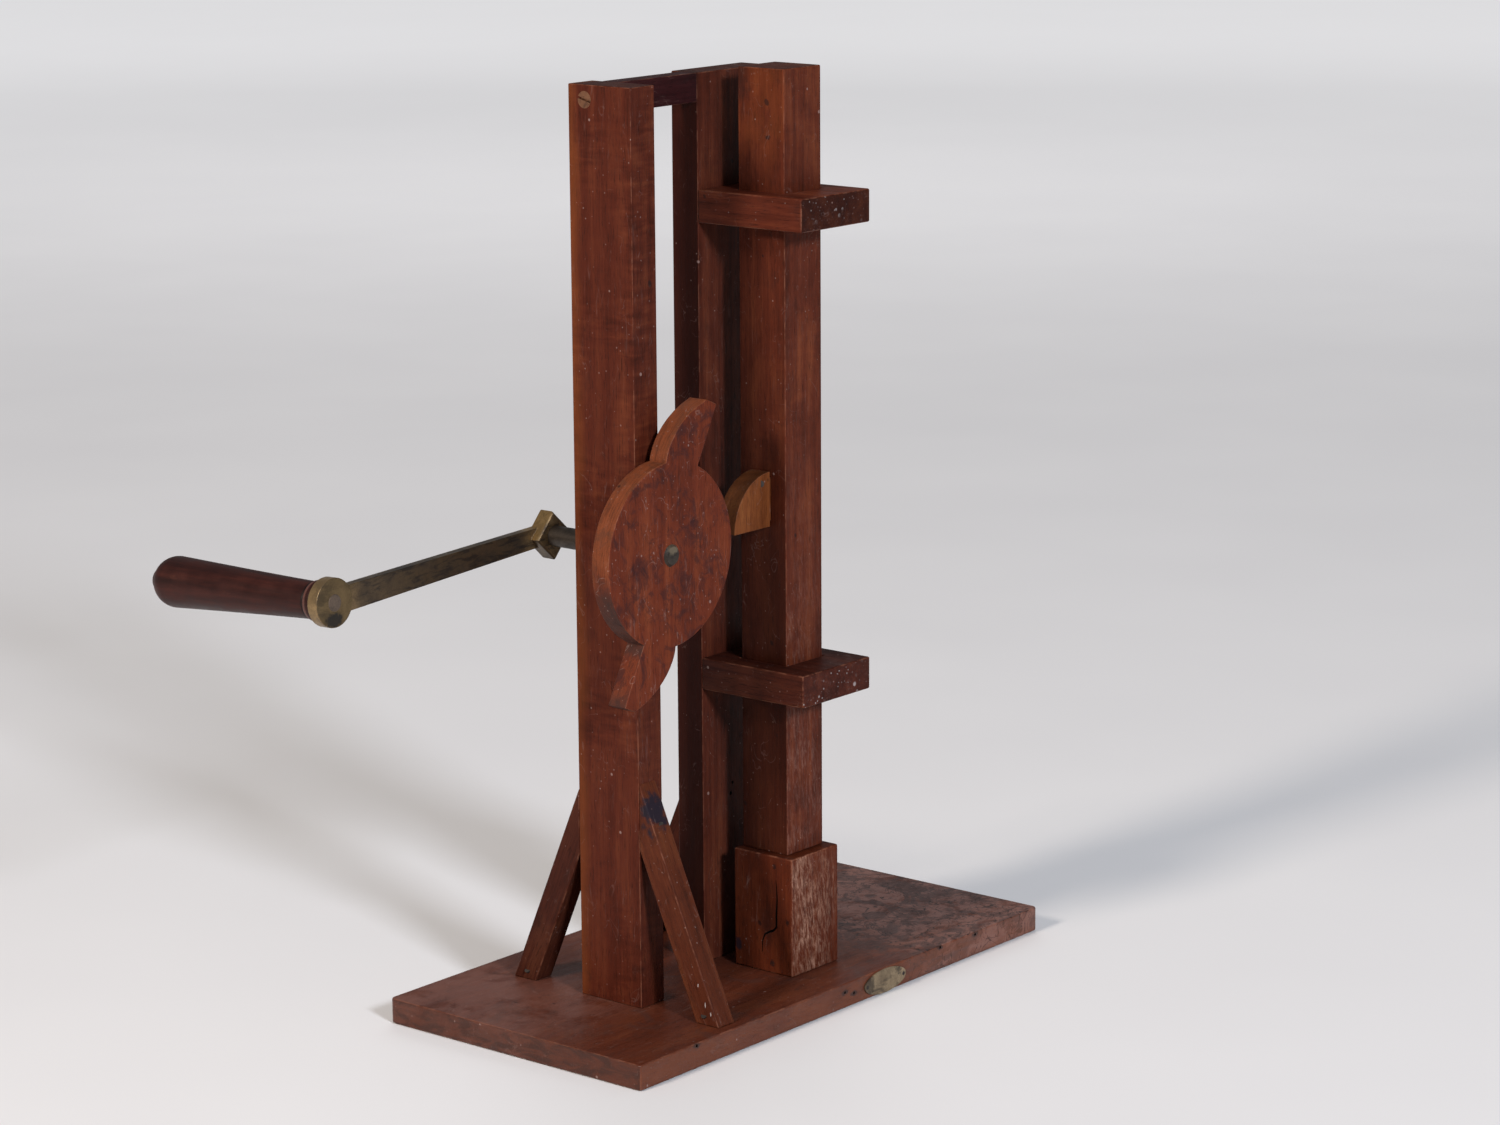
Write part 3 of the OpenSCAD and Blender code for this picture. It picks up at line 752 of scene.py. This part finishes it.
def make_uprights():
    def sapwood(g):
        """An orange streak of sapwood down the rear edge of the post's outer face."""
        wave = g.times(g.minus(g.noise(g.in_mm(), (60, 60, 45), 3), 0.5), 0.016)
        edge = g.plus(g.part(g.place, "Y"), wave)
        rear = box("crank_post")[1].y
        return g.band(edge, rear - 0.0085, rear - 0.001)

    material = wood("post_wood", "Z", seed=2, curl=0.55, grime=0.3, specks=0.35, wear=0.12,
                    tint=(0.84, 0.77, 0.79), figure=0.7, blots=((sapwood, SAP, 0.25),))
    # A crack across the outer face, by the shaft
    left = box("crank_post")[0].x
    wobble = (0, 0.5, -0.3, 0.4, 0.1, -0.2, 0.2)
    line = [(left, (-5 - 3.4 * i) * MM, SHAFT.z - 0.0035 + up * MM)
            for i, up in enumerate(wobble)]
    carve(add_worn("crank_post", 0.6, "frame", material, "frame_wood"),
          crack(line, LEFT, width=0.45, depth=1.4))

    # Painted shade: the board's -X side is painted near black, where the crank post shades it.
    material = wood("board_wood", "Z", DARK_RED, seed=3, grime=0.3, specks=0.25, wear=0.1,
                    tint=(1.08, 1.05, 0.97), blots=((left_side, (0.018, 0.002, 0.0008), 0.82),))
    face = box("guide_board")[0].y
    nail_holes = ((-0.0002, 0.095, 1.2), (0.0012, 0.1003, 1.0))    # x, z and the radius in mm
    carve(add_worn("guide_board", 0.7, "frame", material, "frame_wood"),
          *(pit((x, face, z), FRONT, radius, depth=3) for x, z, radius in nail_holes))

    material = wood("rail_wood", "X", DARK_RED, seed=4, grime=0.5, specks=0.25, wear=0.12,
                    tint=(0.42, 0.42, 0.8))
    settle(add_worn("top_rail", 0.5, "frame", material, "frame_wood"))


def make_braces():
    def burn(g):
        """A dark blue-black stain at the top of the front brace."""
        centre = corner("front_brace", 0.5, 1, 1) - Vector((0.001, 0.006, 0.0125))
        return g.spot(centre, 12, 0.5, 0.45, (0.9, 0.44, 1.4))

    def scratches(g):
        """Short pale scratches on the front brace, most of them near its foot."""
        marks = ((0.17, 0.09, 2.4), (0.26, 0.17, 1.6), (0.1, 0.055, 2), (0.5, 0.52, 1.5))
        return g.any_of(*(
            g.spot(corner("front_brace", 0, across, up), 0.7, 0.2, 0.6, (1, 0.7, length))
            for across, up, length in marks
        ))

    front = wood("front_brace_wood", "front brace", seed=5, grime=0.5, specks=0.6, wear=0.2,
                 tint=(0.93, 1.04, 0.98), edges=0.45, figure=0.65,
                 blots=((burn, INK, 0.92), (scratches, PAINT, 0.8)))
    rear = wood("rear_brace_wood", "rear brace", seed=6, grime=0.4, specks=0.5, wear=0.2,
                tint=(0.57, 0.66, 0.8))
    board = wood("board_brace_wood", "rear brace", DARK_RED, seed=7, grime=0.35,
                 tint=(0.8, 0.7, 0.65))
    for node, material in (("front_brace", front), ("rear_brace", rear), ("board_brace", board)):
        settle(add_worn(node, 0.8, "frame", material, "brace_wood"))


def make_guide_blocks():
    def paint_specks(g):
        """Drops of pale paint on the end that looks to -Y."""
        drops = g.any_of(g.specks(3.6, 1.3, 0.5, (2, 4, 8)), g.specks(1.6, 0.55, 0.6, (21, 4, 8)))
        thick = g.band(g.noise(g.in_mm(shift=(4, 9, 1)), 13, 3, 0.6), 0.42, 0.58, 0.1, 1)
        return g.times(g.facing("Y"), g.times(drops, thick))

    for node, seed, tint, end_dark, paint in (
            ("upper_guide_block", 8, (1.28, 1.12, 0.92), 0.38, 0.42),
            ("lower_guide_block", 9, (0.64, 0.61, 0.6), 1.45, 0.62)):
        material = wood(node + "_wood", "Y", DARK_RED, seed=seed, curl=0.05, grime=0.4,
                        specks=0.5, wear=0.12, tint=tint, end_dark=end_dark,
                        blots=((paint_specks, PAINT, paint),))
        settle(add_worn(node, 0.9, "frame", material, "block_wood"))


# ---------- Stamper ----------

def make_stamper():
    def worn_front(g):
        """Pale rubbed wood on the face that looks to -Y, fading toward +X."""
        streaks = g.noise(g.in_mm((0.1, 0.1, OFF_SQUARE)), (1.5, 1.5, 7), 8, 0.78, 0.5)
        thick = g.band(g.noise(g.in_mm(), 17, 5, 0.65), 0.38, 0.6, 0.2, 1)
        low, high = box("stamper_shoe")
        across = g.beyond("X", low.x + 0.012, high.x, 1, 0.3)
        mask = g.times(g.band(streaks, 0.42, 0.68), g.times(thick, across))
        return g.times(g.facing("Y"), mask)

    def worn_stem(g):
        """The same on the stem, mostly on its lower part."""
        return g.times(worn_front(g), g.beyond("Z", 0.3, 0.1, 0.12, 1))

    def shaded_side(g):
        """The -X side is darker below the upper guide block."""
        wave = g.times(g.noise(g.in_mm(), (20, 20, 60), 4, 0.6), 0.08)
        height = g.plus(g.part(g.place, "Z"), wave)
        return g.times(g.facing("X"), g.band(height, 0.2, 0.46, 1, 0))

    def knot(g):
        """A small dark knot near the top of the -X side."""
        return g.spot(corner("stamper_stem", 0, 0.35, 0.919), 1.7, 0.4, 0.6, (1, 1.3, 0.8))

    def painted_light_high(g):
        """Painted light: warm light in clouds near the top of the -X side, above where the post
        shades it.
        """
        clouds = g.band(g.noise(g.in_mm(shift=(0, 6, 0)), (14, 14, 24), 4, 0.6, 0.5), 0.4, 0.6)
        high = g.beyond("Z", 0.39, 0.43)
        return g.times(g.facing("X"), g.times(clouds, high))

    def stem_shade(g):
        """Painted shade: a dark patch at the top rear corner of the -X side."""
        return g.spot(corner("stamper_stem", 0, 0.95, 0.985), 10, 0.45, 0.8, (1, 0.8, 1.3), 3)

    # The stem's -X side carries painted light near its top, and painted shade lower down and at
    # its top rear corner.
    material = wood("stem_wood", "Z", seed=10, curl=0.15, grime=0.3, specks=0.45, wear=0.15,
                    tint=(1.06, 0.99, 0.93),
                    blots=((painted_light_high, SAP, 0.12), (stem_shade, GRIME, 0.55),
                           (shaded_side, (0.018, 0.0042, 0.0024), 0.68),
                           (worn_stem, (0.3, 0.165, 0.13), 0.4), (knot, GRIME, 0.8)))
    settle(add_worn("stamper_stem", 0.7, "stamper", material, "stem_wood"))

    def dark_spot(g):
        """A black spot low at the rear of the shoe's -X side."""
        return g.spot(corner("stamper_shoe", 0, 0.925, 0.19), 3.2, 0.4, 0.5, (1, 0.8, 1.3))

    def dark_marks(g):
        """Small dark marks on the shoe's -X side."""
        marks = ((0.3, 0.912, 1.3), (0.337, 0.088, 1.7), (0.08, 0.46, 1.4))
        return g.any_of(*(
            g.spot(corner("stamper_shoe", 0, across, up), radius, 0.5, 0.5, (1, 1, 1.3), 9)
            for across, up, radius in marks
        ))

    def stain_by_crack(g):
        """A faint stain round the shoe's crack."""
        return g.spot(corner("stamper_shoe", 0, 0.42, 0.4), 9, 0.5, 0.8, (0.7, 0.7, 1.7), 4)

    material = wood("shoe_wood", "Z", seed=11, curl=0.1, grime=0.35, specks=0.45, wear=0.2,
                    tint=(1.02, 0.93, 0.78), edges=0.6, figure=0.7,
                    blots=((worn_front, (0.44, 0.25, 0.175), 0.8), (dark_spot, INK, 0.8),
                           (dark_marks, GRIME, 0.8), (stain_by_crack, GRIME, 0.4)))
    # The shoe's crack, in shares of its -X side's width and height
    steps = [(0.275, 0.80), (0.262, 0.71), (0.255, 0.63), (0.268, 0.52), (0.271, 0.40),
             (0.32, 0.367), (0.40, 0.345), (0.467, 0.32), (0.51, 0.26), (0.516, 0.163)]
    line = [corner("stamper_shoe", 0, across, up) for across, up in steps]
    carve(add_worn("stamper_shoe", 1.0, "stamper", material, "shoe_wood"),
          crack(line, LEFT, width=1.35, depth=3))

    def shaded_curve(g):
        """Painted shade: the tappet's curved side is darker and browner."""
        return g.curved_side()

    material = wood("tappet_wood", "Z", TAN, seed=12, grime=0.35, specks=0.25, wear=0.1,
                    tint=(1.05, 0.93, 0.78), end_dark=0.8, round_axis="Y",
                    blots=((shaded_curve, (0.05, 0.02, 0.009), 0.5),))
    settle(add_worn("tappet", 0.4, "stamper", material, "tappet_wood"))


# ---------- Cam, shaft and crank ----------

def make_cam():
    def height_on_rim(g):
        """The height above the table, with a ragged edge for the masks."""
        wave = g.times(g.minus(g.noise(g.in_mm(), 14, 4, 0.6), 0.5), 0.04)
        return g.plus(g.part(g.place, "Z"), wave)

    def rubbed_and_lit_rim(g):
        """Rubbed orange wood and painted light on the upper curved sides, which are lighter."""
        high = g.band(height_on_rim(g), SHAFT.z - 0.016, SHAFT.z + 0.004)
        return g.times(g.curved_side(), high)

    def grey_and_shaded_rim(g):
        """Greyed end grain and painted shade on the lower curved sides, but hardly on the lower
        wiper.
        """
        low = g.band(height_on_rim(g), SHAFT.z - 0.02, SHAFT.z - 0.002, 1, 0)
        grey = g.times(g.curved_side(), low)
        low_wiper = g.times(g.beyond("Z", SHAFT.z - 0.068, SHAFT.z - 0.056),
                            g.beyond("Z", SHAFT.z - 0.047, SHAFT.z - 0.042, 1, 0))
        return g.times(grey, g.minus(1, g.times(low_wiper, 0.85)))

    def rim_lines(g):
        """Fine lines round the rim, parallel to the faces."""
        lines = g.noise(g.in_mm(), (16, 0.9, 16), 4, 0.65, 0.3)
        return g.times(g.curved_side(), g.band(lines, 0.46, 0.64))

    def face_stains(g):
        """Dark smears and clouds on the flat face."""
        smears = g.noise(g.in_mm((0, 0.5, 0), (3, 8, 40)), (9, 9, 12), 8, 0.72, 0.9)
        return g.band(smears, 0.47, 0.62)

    def by_the_shaft(g):
        """Two dark stains beside the shaft."""
        left = g.spot(SHAFT + Vector((-0.022, -0.04, -0.004)), 8, 0.5, 0.8, (1, 2, 1.4), 5)
        right = g.spot(SHAFT + Vector((0.016, -0.04, 0.012)), 4, 0.6, 0.8, (1, 3, 1), 2)
        return g.any_of(left, right)

    # The rims are lighter above the shaft and greyer below it: partly painted light and shade.
    material = wood("cam_wood", "Z", seed=13, grime=0.3, specks=0.95, wear=0.3, figure=0.6,
                    tint=(1.42, 1.25, 1.12), end_dark=1, edges=0.55, round_axis="Y", scratches=0.3,
                    blots=((face_stains, (0.034, 0.012, 0.012), 0.66),
                           (by_the_shaft, (0.022, 0.008, 0.01), 0.6),
                           (rubbed_and_lit_rim, (0.27, 0.1, 0.04), 0.25),
                           (rim_lines, (0.05, 0.015, 0.008), 0.45),
                           (grey_and_shaded_rim, (0.035, 0.024, 0.021), 0.62)))
    settle(add_worn("cam_wheel", 0.5, "crank", material, "cam_wood"))


def make_crank():
    arm_way = SPINDLE - SHAFT
    arm_turn = math.atan2(arm_way.z, arm_way.x)

    def low_boss(g):
        """A dark stain low on the boss."""
        centre = SPINDLE + Vector((-0.0008, -0.004, -0.0078))
        return g.spot(centre, 5, 0.3, 0.4, (1.3, 1, 0.8))

    def on_boss(g):
        return g.beyond("X", SPINDLE.x + 0.010, SPINDLE.x + 0.013, 1, 0)

    def boss_face(g):
        """Olive patina on the boss's flat outer face."""
        return g.times(on_boss(g), g.band(g.part(g.normal, "Y"), -0.95, -0.7, 1, 0))

    def boss_side_highlight(g):
        """Painted highlight: the boss's round side is lighter."""
        return g.times(on_boss(g), g.band(g.part(g.normal, "Y"), -0.7, -0.3))

    def on_arm(g):
        """Long dark patches along the arm."""
        along = g.in_mm((0, arm_turn, 0), (29, 11, 37))
        patches = g.noise(along, (15, 4, 3.2), 6, 0.66, 0.8)
        beyond_boss = g.beyond("X", SPINDLE.x + 0.012, SPINDLE.x + 0.022)
        return g.times(g.band(patches, 0.5, 0.62), beyond_boss)

    def whole_arm(g):
        """The arm between boss and hub is browner than they are."""
        return g.times(g.beyond("X", SPINDLE.x + 0.010, SPINDLE.x + 0.020),
                       g.beyond("X", SHAFT.x - 0.022, SHAFT.x - 0.012, 1, 0))

    def on_hub(g):
        return g.beyond("X", SHAFT.x - 0.016, SHAFT.x - 0.012)

    def shaded_under_hub(g):
        """Painted shade: the hub's lower side is darker."""
        return g.times(on_hub(g), g.band(g.part(g.normal, "Z"), -0.2, -0.6))

    def lit_top_hub(g):
        """Painted light: the hub's upper side is lighter, yellow brass."""
        return g.times(on_hub(g), g.band(g.part(g.normal, "Z"), 0.4, 0.8))

    # Painted light and shade on the brass: a highlight on the boss's side, a lit top on the hub
    # and a shaded underside.
    brass = metal("aged_brass", (0.27, 0.18, 0.085), (0.11, 0.074, 0.04), (0.04, 0.031, 0.026),
                  metallic=0.72, rough=0.36, seed=1, grime_share=0.6,
                  blots=((boss_face, (0.085, 0.06, 0.026), 0.5),
                         (boss_side_highlight, (0.33, 0.22, 0.1), 0.28),
                         (whole_arm, (0.062, 0.046, 0.033), 0.72),
                         (shaded_under_hub, (0.03, 0.02, 0.014), 0.6),
                         (on_arm, (0.026, 0.024, 0.023), 0.7),
                         (lit_top_hub, (0.33, 0.2, 0.06), 0.5),
                         (low_boss, (0.02, 0.02, 0.021), 0.85)))
    settle(add_worn("crank_arm", 0.35, "crank", brass, "crank_brass", smallest=9))
    dull = metal("spindle_brass", (0.14, 0.1, 0.072), (0.08, 0.058, 0.045),
                 (0.045, 0.033, 0.026), metallic=0.5, rough=0.55, seed=6)
    give(dull, "grip_spindle")
    give(brass, "grip_washer", "spacer_washer")


def make_grip():
    # Radii, and distances along the spindle from its joint, in mm
    bore, bead, neck, largest, well = 3.05, 9.7, 8.7, 12.15, 5.7
    start, length = 3.2, 108
    end = start + length
    bead_middle, bead_half, bead_round = start + 3, 2.6, 1.2
    neck_start, swell_end, well_floor = start + 7, end - largest, end - 2.9
    swell_steps, dome_steps = 24, 17

    profile = [(bore, start), (bead - 1.6, start)]
    widest = math.radians(60)
    for i in range(9):
        a = widest * (i / 4 - 1)
        profile.append((bead - bead_round + bead_round * math.cos(a),
                        bead_middle + bead_half * math.sin(a) / math.sin(widest)))
    profile += [(neck - 0.25, start + 6.2), (neck, neck_start)]
    for i in range(1, swell_steps + 1):
        t = i / swell_steps
        profile.append((neck + (largest - neck) * t ** 1.15,
                        neck_start + t * (swell_end - neck_start)))
    for i in range(1, dome_steps):
        a = math.radians(90 * i / dome_steps)
        profile.append((largest * math.cos(a), swell_end + largest * math.sin(a)))
    # The washer's well. The dome runs on over it, so the outline crosses itself here and
    # leaves a flat collar round the tip.
    profile += [(well, profile[-1][1] + 0.2), (well, well_floor), (bore, well_floor)]

    g = Graph("grip_wood")
    turn = SPINDLE_AXIS.rotation_difference(Vector((0, 0, 1))).to_euler()
    p = g.in_mm(tuple(turn), (17, 5, 3))
    streak = g.noise(p, (4, 4, 90), 5, 0.6, 0.3)
    cloud = g.noise(p, 11, 5, 0.6)
    tone = g.plus(g.times(streak, 0.65), g.times(cloud, 0.35))
    colour = g.ramp(tone, (0.36, (0.014, 0.0026, 0.0018)), (0.5, (0.026, 0.0052, 0.0034)),
                    (0.66, (0.046, 0.01, 0.0062)))
    gleam = g.band(g.noise(p, (2, 2, 14), 5, 0.7, 0.5), 0.6, 0.74)
    colour = g.mix(g.times(gleam, 0.3), colour, (0.09, 0.028, 0.015))
    colour = g.mix(g.times(g.specks(14, 0.9, 0.25), 0.6), colour, PALE_WEAR)
    along = g.vector_math("DOT_PRODUCT", g.way_from(SPINDLE), tuple(SPINDLE_AXIS))
    # Painted shade and dirt in the groove beyond the bead, a painted highlight ring on the bead,
    # and one pale scratch
    from_groove = g.math("ABSOLUTE", g.minus(along, start + 6.4))
    colour = g.mix(g.band(from_groove, 0.3, 1.1, 0.85, 0), colour, (0.006, 0.003, 0.003))
    from_highlight = g.math("ABSOLUTE", g.minus(along, start + 4.3))
    colour = g.mix(g.band(from_highlight, 0.2, 1.3, 0.4, 0), colour, (0.22, 0.1, 0.08))
    scratch = g.spot(SPINDLE + Vector((-0.002, -0.0355, -0.0035)), 1.1, 0.5, 0.6, (1, 3.6, 0.6), 6)
    colour = g.mix(g.times(scratch, 0.7), colour, PALE_WEAR)
    rough = g.band(cloud, 0.3, 0.7, 0.4, 0.52)
    height = g.plus(streak, g.times(cloud, 0.4))
    material = g.finish(colour, rough, height, 0.05, specular=0.2)
    mesh = lathe(profile, SPINDLE, SPINDLE_AXIS)
    piece = add_piece("handle_grip_turned", mesh, "grip", material, "grip_wood", "handle_grip")
    settle(piece, smooth_angle=50)


def make_small_metal():
    def plate_dirt(g):
        """Grime at the plate's two ends."""
        left = corner("id_plate", 0, 0, 0.5) + Vector((0.003, 0, 0))
        right = corner("id_plate", 1, 0, 1) - Vector((0.006, 0, 0.003))
        return g.any_of(g.spot(left, 6, 0.5, 0.6, (1, 1, 1.2)), g.spot(right, 3, 0.6, 0.6, seed=3))

    def end_highlight(g):
        """Painted highlight: the upper part of the shaft's end in the cam is lighter."""
        end = box("crank_shaft")[0].y
        return g.spot((SHAFT.x, end, SHAFT.z + 0.003), 3.6, 0.3, 0.5, (1.3, 1, 0.8))

    screw = metal("screw_brass", (0.22, 0.10, 0.05), (0.10, 0.042, 0.022), (0.04, 0.02, 0.013),
                  metallic=0.65, rough=0.42, seed=2)
    plate = metal("plate_brass", (0.33, 0.25, 0.15), (0.16, 0.115, 0.07), (0.05, 0.036, 0.026),
                  metallic=0.55, rough=0.5, seed=3, grime_share=0.75,
                  blots=((plate_dirt, GRIME, 0.7),))
    steel = metal("shaft_steel", (0.07, 0.054, 0.042), (0.032, 0.025, 0.02),
                  (0.016, 0.013, 0.011), metallic=0.7, rough=0.42, seed=4,
                  blots=((end_highlight, (0.25, 0.2, 0.13), 0.6),))
    iron = metal("dark_iron", (0.05, 0.04, 0.034), (0.022, 0.017, 0.015), GRIME,
                 metallic=0.5, rough=0.6, seed=5)
    give(screw, "rail_screw")
    give(plate, "id_plate")
    give(steel, "crank_shaft")
    give(iron, "brace_nails", "upright_screws", "guide_block_screws", "shoe_screw",
         "tappet_screw", "tappet_nail", "cam_key", "id_plate_pins")


# ---------- Studio ----------

CAMERA_AT = (-1.5126, -1.2566, 0.6405)
CAMERA_AZIMUTH = math.radians(-50.69)
CAMERA_TILT = math.radians(12.32)
CAMERA_ROLL = math.radians(-0.37)
CAMERA_LENS = 98.63    # mm
CAMERA_SENSOR = 36    # mm across
FLOOR_RADIUS = 9
FLOOR_GAP = 0.3 * MM    # keeps the floor clear of the base board's underside
# The floor's far end glows: painted light.
FAR_GLOW = 0.5    # how brightly the floor's far end shines
FAR_SIDE = (0.77, 0.64, 0)    # the way from the camera across the floor


def make_camera():
    """The camera looks along its azimuth, tilts down and rolls a little."""
    data = bpy.data.cameras.new("camera")
    camera = new_object("camera", data)
    data.sensor_fit = "HORIZONTAL"
    data.sensor_width = CAMERA_SENSOR
    data.lens = CAMERA_LENS
    a, e, r = CAMERA_AZIMUTH, CAMERA_TILT, CAMERA_ROLL
    back = Vector((math.sin(a) * math.cos(e), -math.cos(a) * math.cos(e), math.sin(e)))
    right = Vector((math.cos(a), math.sin(a), 0))
    up = back.cross(right)
    right, up = (math.cos(r) * right + math.sin(r) * up,
                 -math.sin(r) * right + math.cos(r) * up)
    turn = Matrix((right, up, back)).transposed().to_4x4()
    camera.matrix_world = Matrix.Translation(CAMERA_AT) @ turn
    bpy.context.scene.camera = camera


def make_area_light(name, direction, distance, size, watts, colour, glossy=True):
    """A round lamp that shines on the middle of the model from a direction."""
    data = bpy.data.lights.new(name, "AREA")
    data.shape = "DISK"
    data.size = size
    data.energy = watts
    data.color = colour
    lamp = new_object(name, data)
    toward = Vector(direction).normalized()
    middle = (cad_low + cad_high) / 2
    lamp.location = middle + toward * distance
    lamp.rotation_mode = "QUATERNION"
    lamp.rotation_quaternion = toward.to_track_quat("Z", "Y")
    lamp.visible_camera = False
    lamp.visible_glossy = glossy


def make_lights():
    make_area_light("key", (-0.36, -1, 0.5), distance=4.6, size=0.75, watts=144,
                    colour=(0.95, 0.99, 1.07))
    make_area_light("side", (-1, 0.06, 0.55), distance=3.6, size=0.65, watts=92,
                    colour=(1, 0.88, 0.76))
    make_area_light("back", (1, 0.8, 0.8), distance=3.6, size=2.4, watts=24,
                    colour=(1, 0.98, 0.97), glossy=False)
    world = bpy.data.worlds.new("studio")
    bpy.context.scene.world = world
    world.use_nodes = True
    put(world.node_tree.nodes["Background"], Color=(0.92, 0.93, 0.96, 1), Strength=0.25)
    bpy.context.scene.view_settings.view_transform = "Standard"


def make_floor():
    """A pale cloth whose far end glows: painted light that brightens the floor on the far side."""
    bm = bmesh.new()
    bmesh.ops.create_circle(bm, cap_ends=True, segments=96, radius=FLOOR_RADIUS)
    mesh = mesh_from(bm, "floor")
    floor = new_object("floor", mesh)
    floor.location.z = cad_low.z - FLOOR_GAP
    g = Graph("floor_cloth")
    folds = g.noise(g.in_mm(), 240, 2, 0.5)
    colour = g.mix(folds, (0.77, 0.77, 0.787), (0.83, 0.83, 0.843))
    away = g.vector_math("LENGTH", g.place)
    behind = g.band(g.vector_math("DOT_PRODUCT", g.place, FAR_SIDE), -1, 1)
    far = g.times(behind, g.band(away, 1.5, 5.5, 0, FAR_GLOW))
    material = g.finish(colour, 0.9, folds, 0.2, specular=0.1)
    shader = next(n for n in g.tree.nodes if n.type == "BSDF_PRINCIPLED")
    put(shader, Emission_Color=(1, 0.99, 1, 1))
    g.feed(shader.inputs["Emission Strength"], far)
    mesh.materials.append(material)


make_base_board()
make_uprights()
make_braces()
make_guide_blocks()
make_stamper()
make_cam()
make_crank()
make_grip()
make_small_metal()
make_camera()
make_lights()
make_floor()
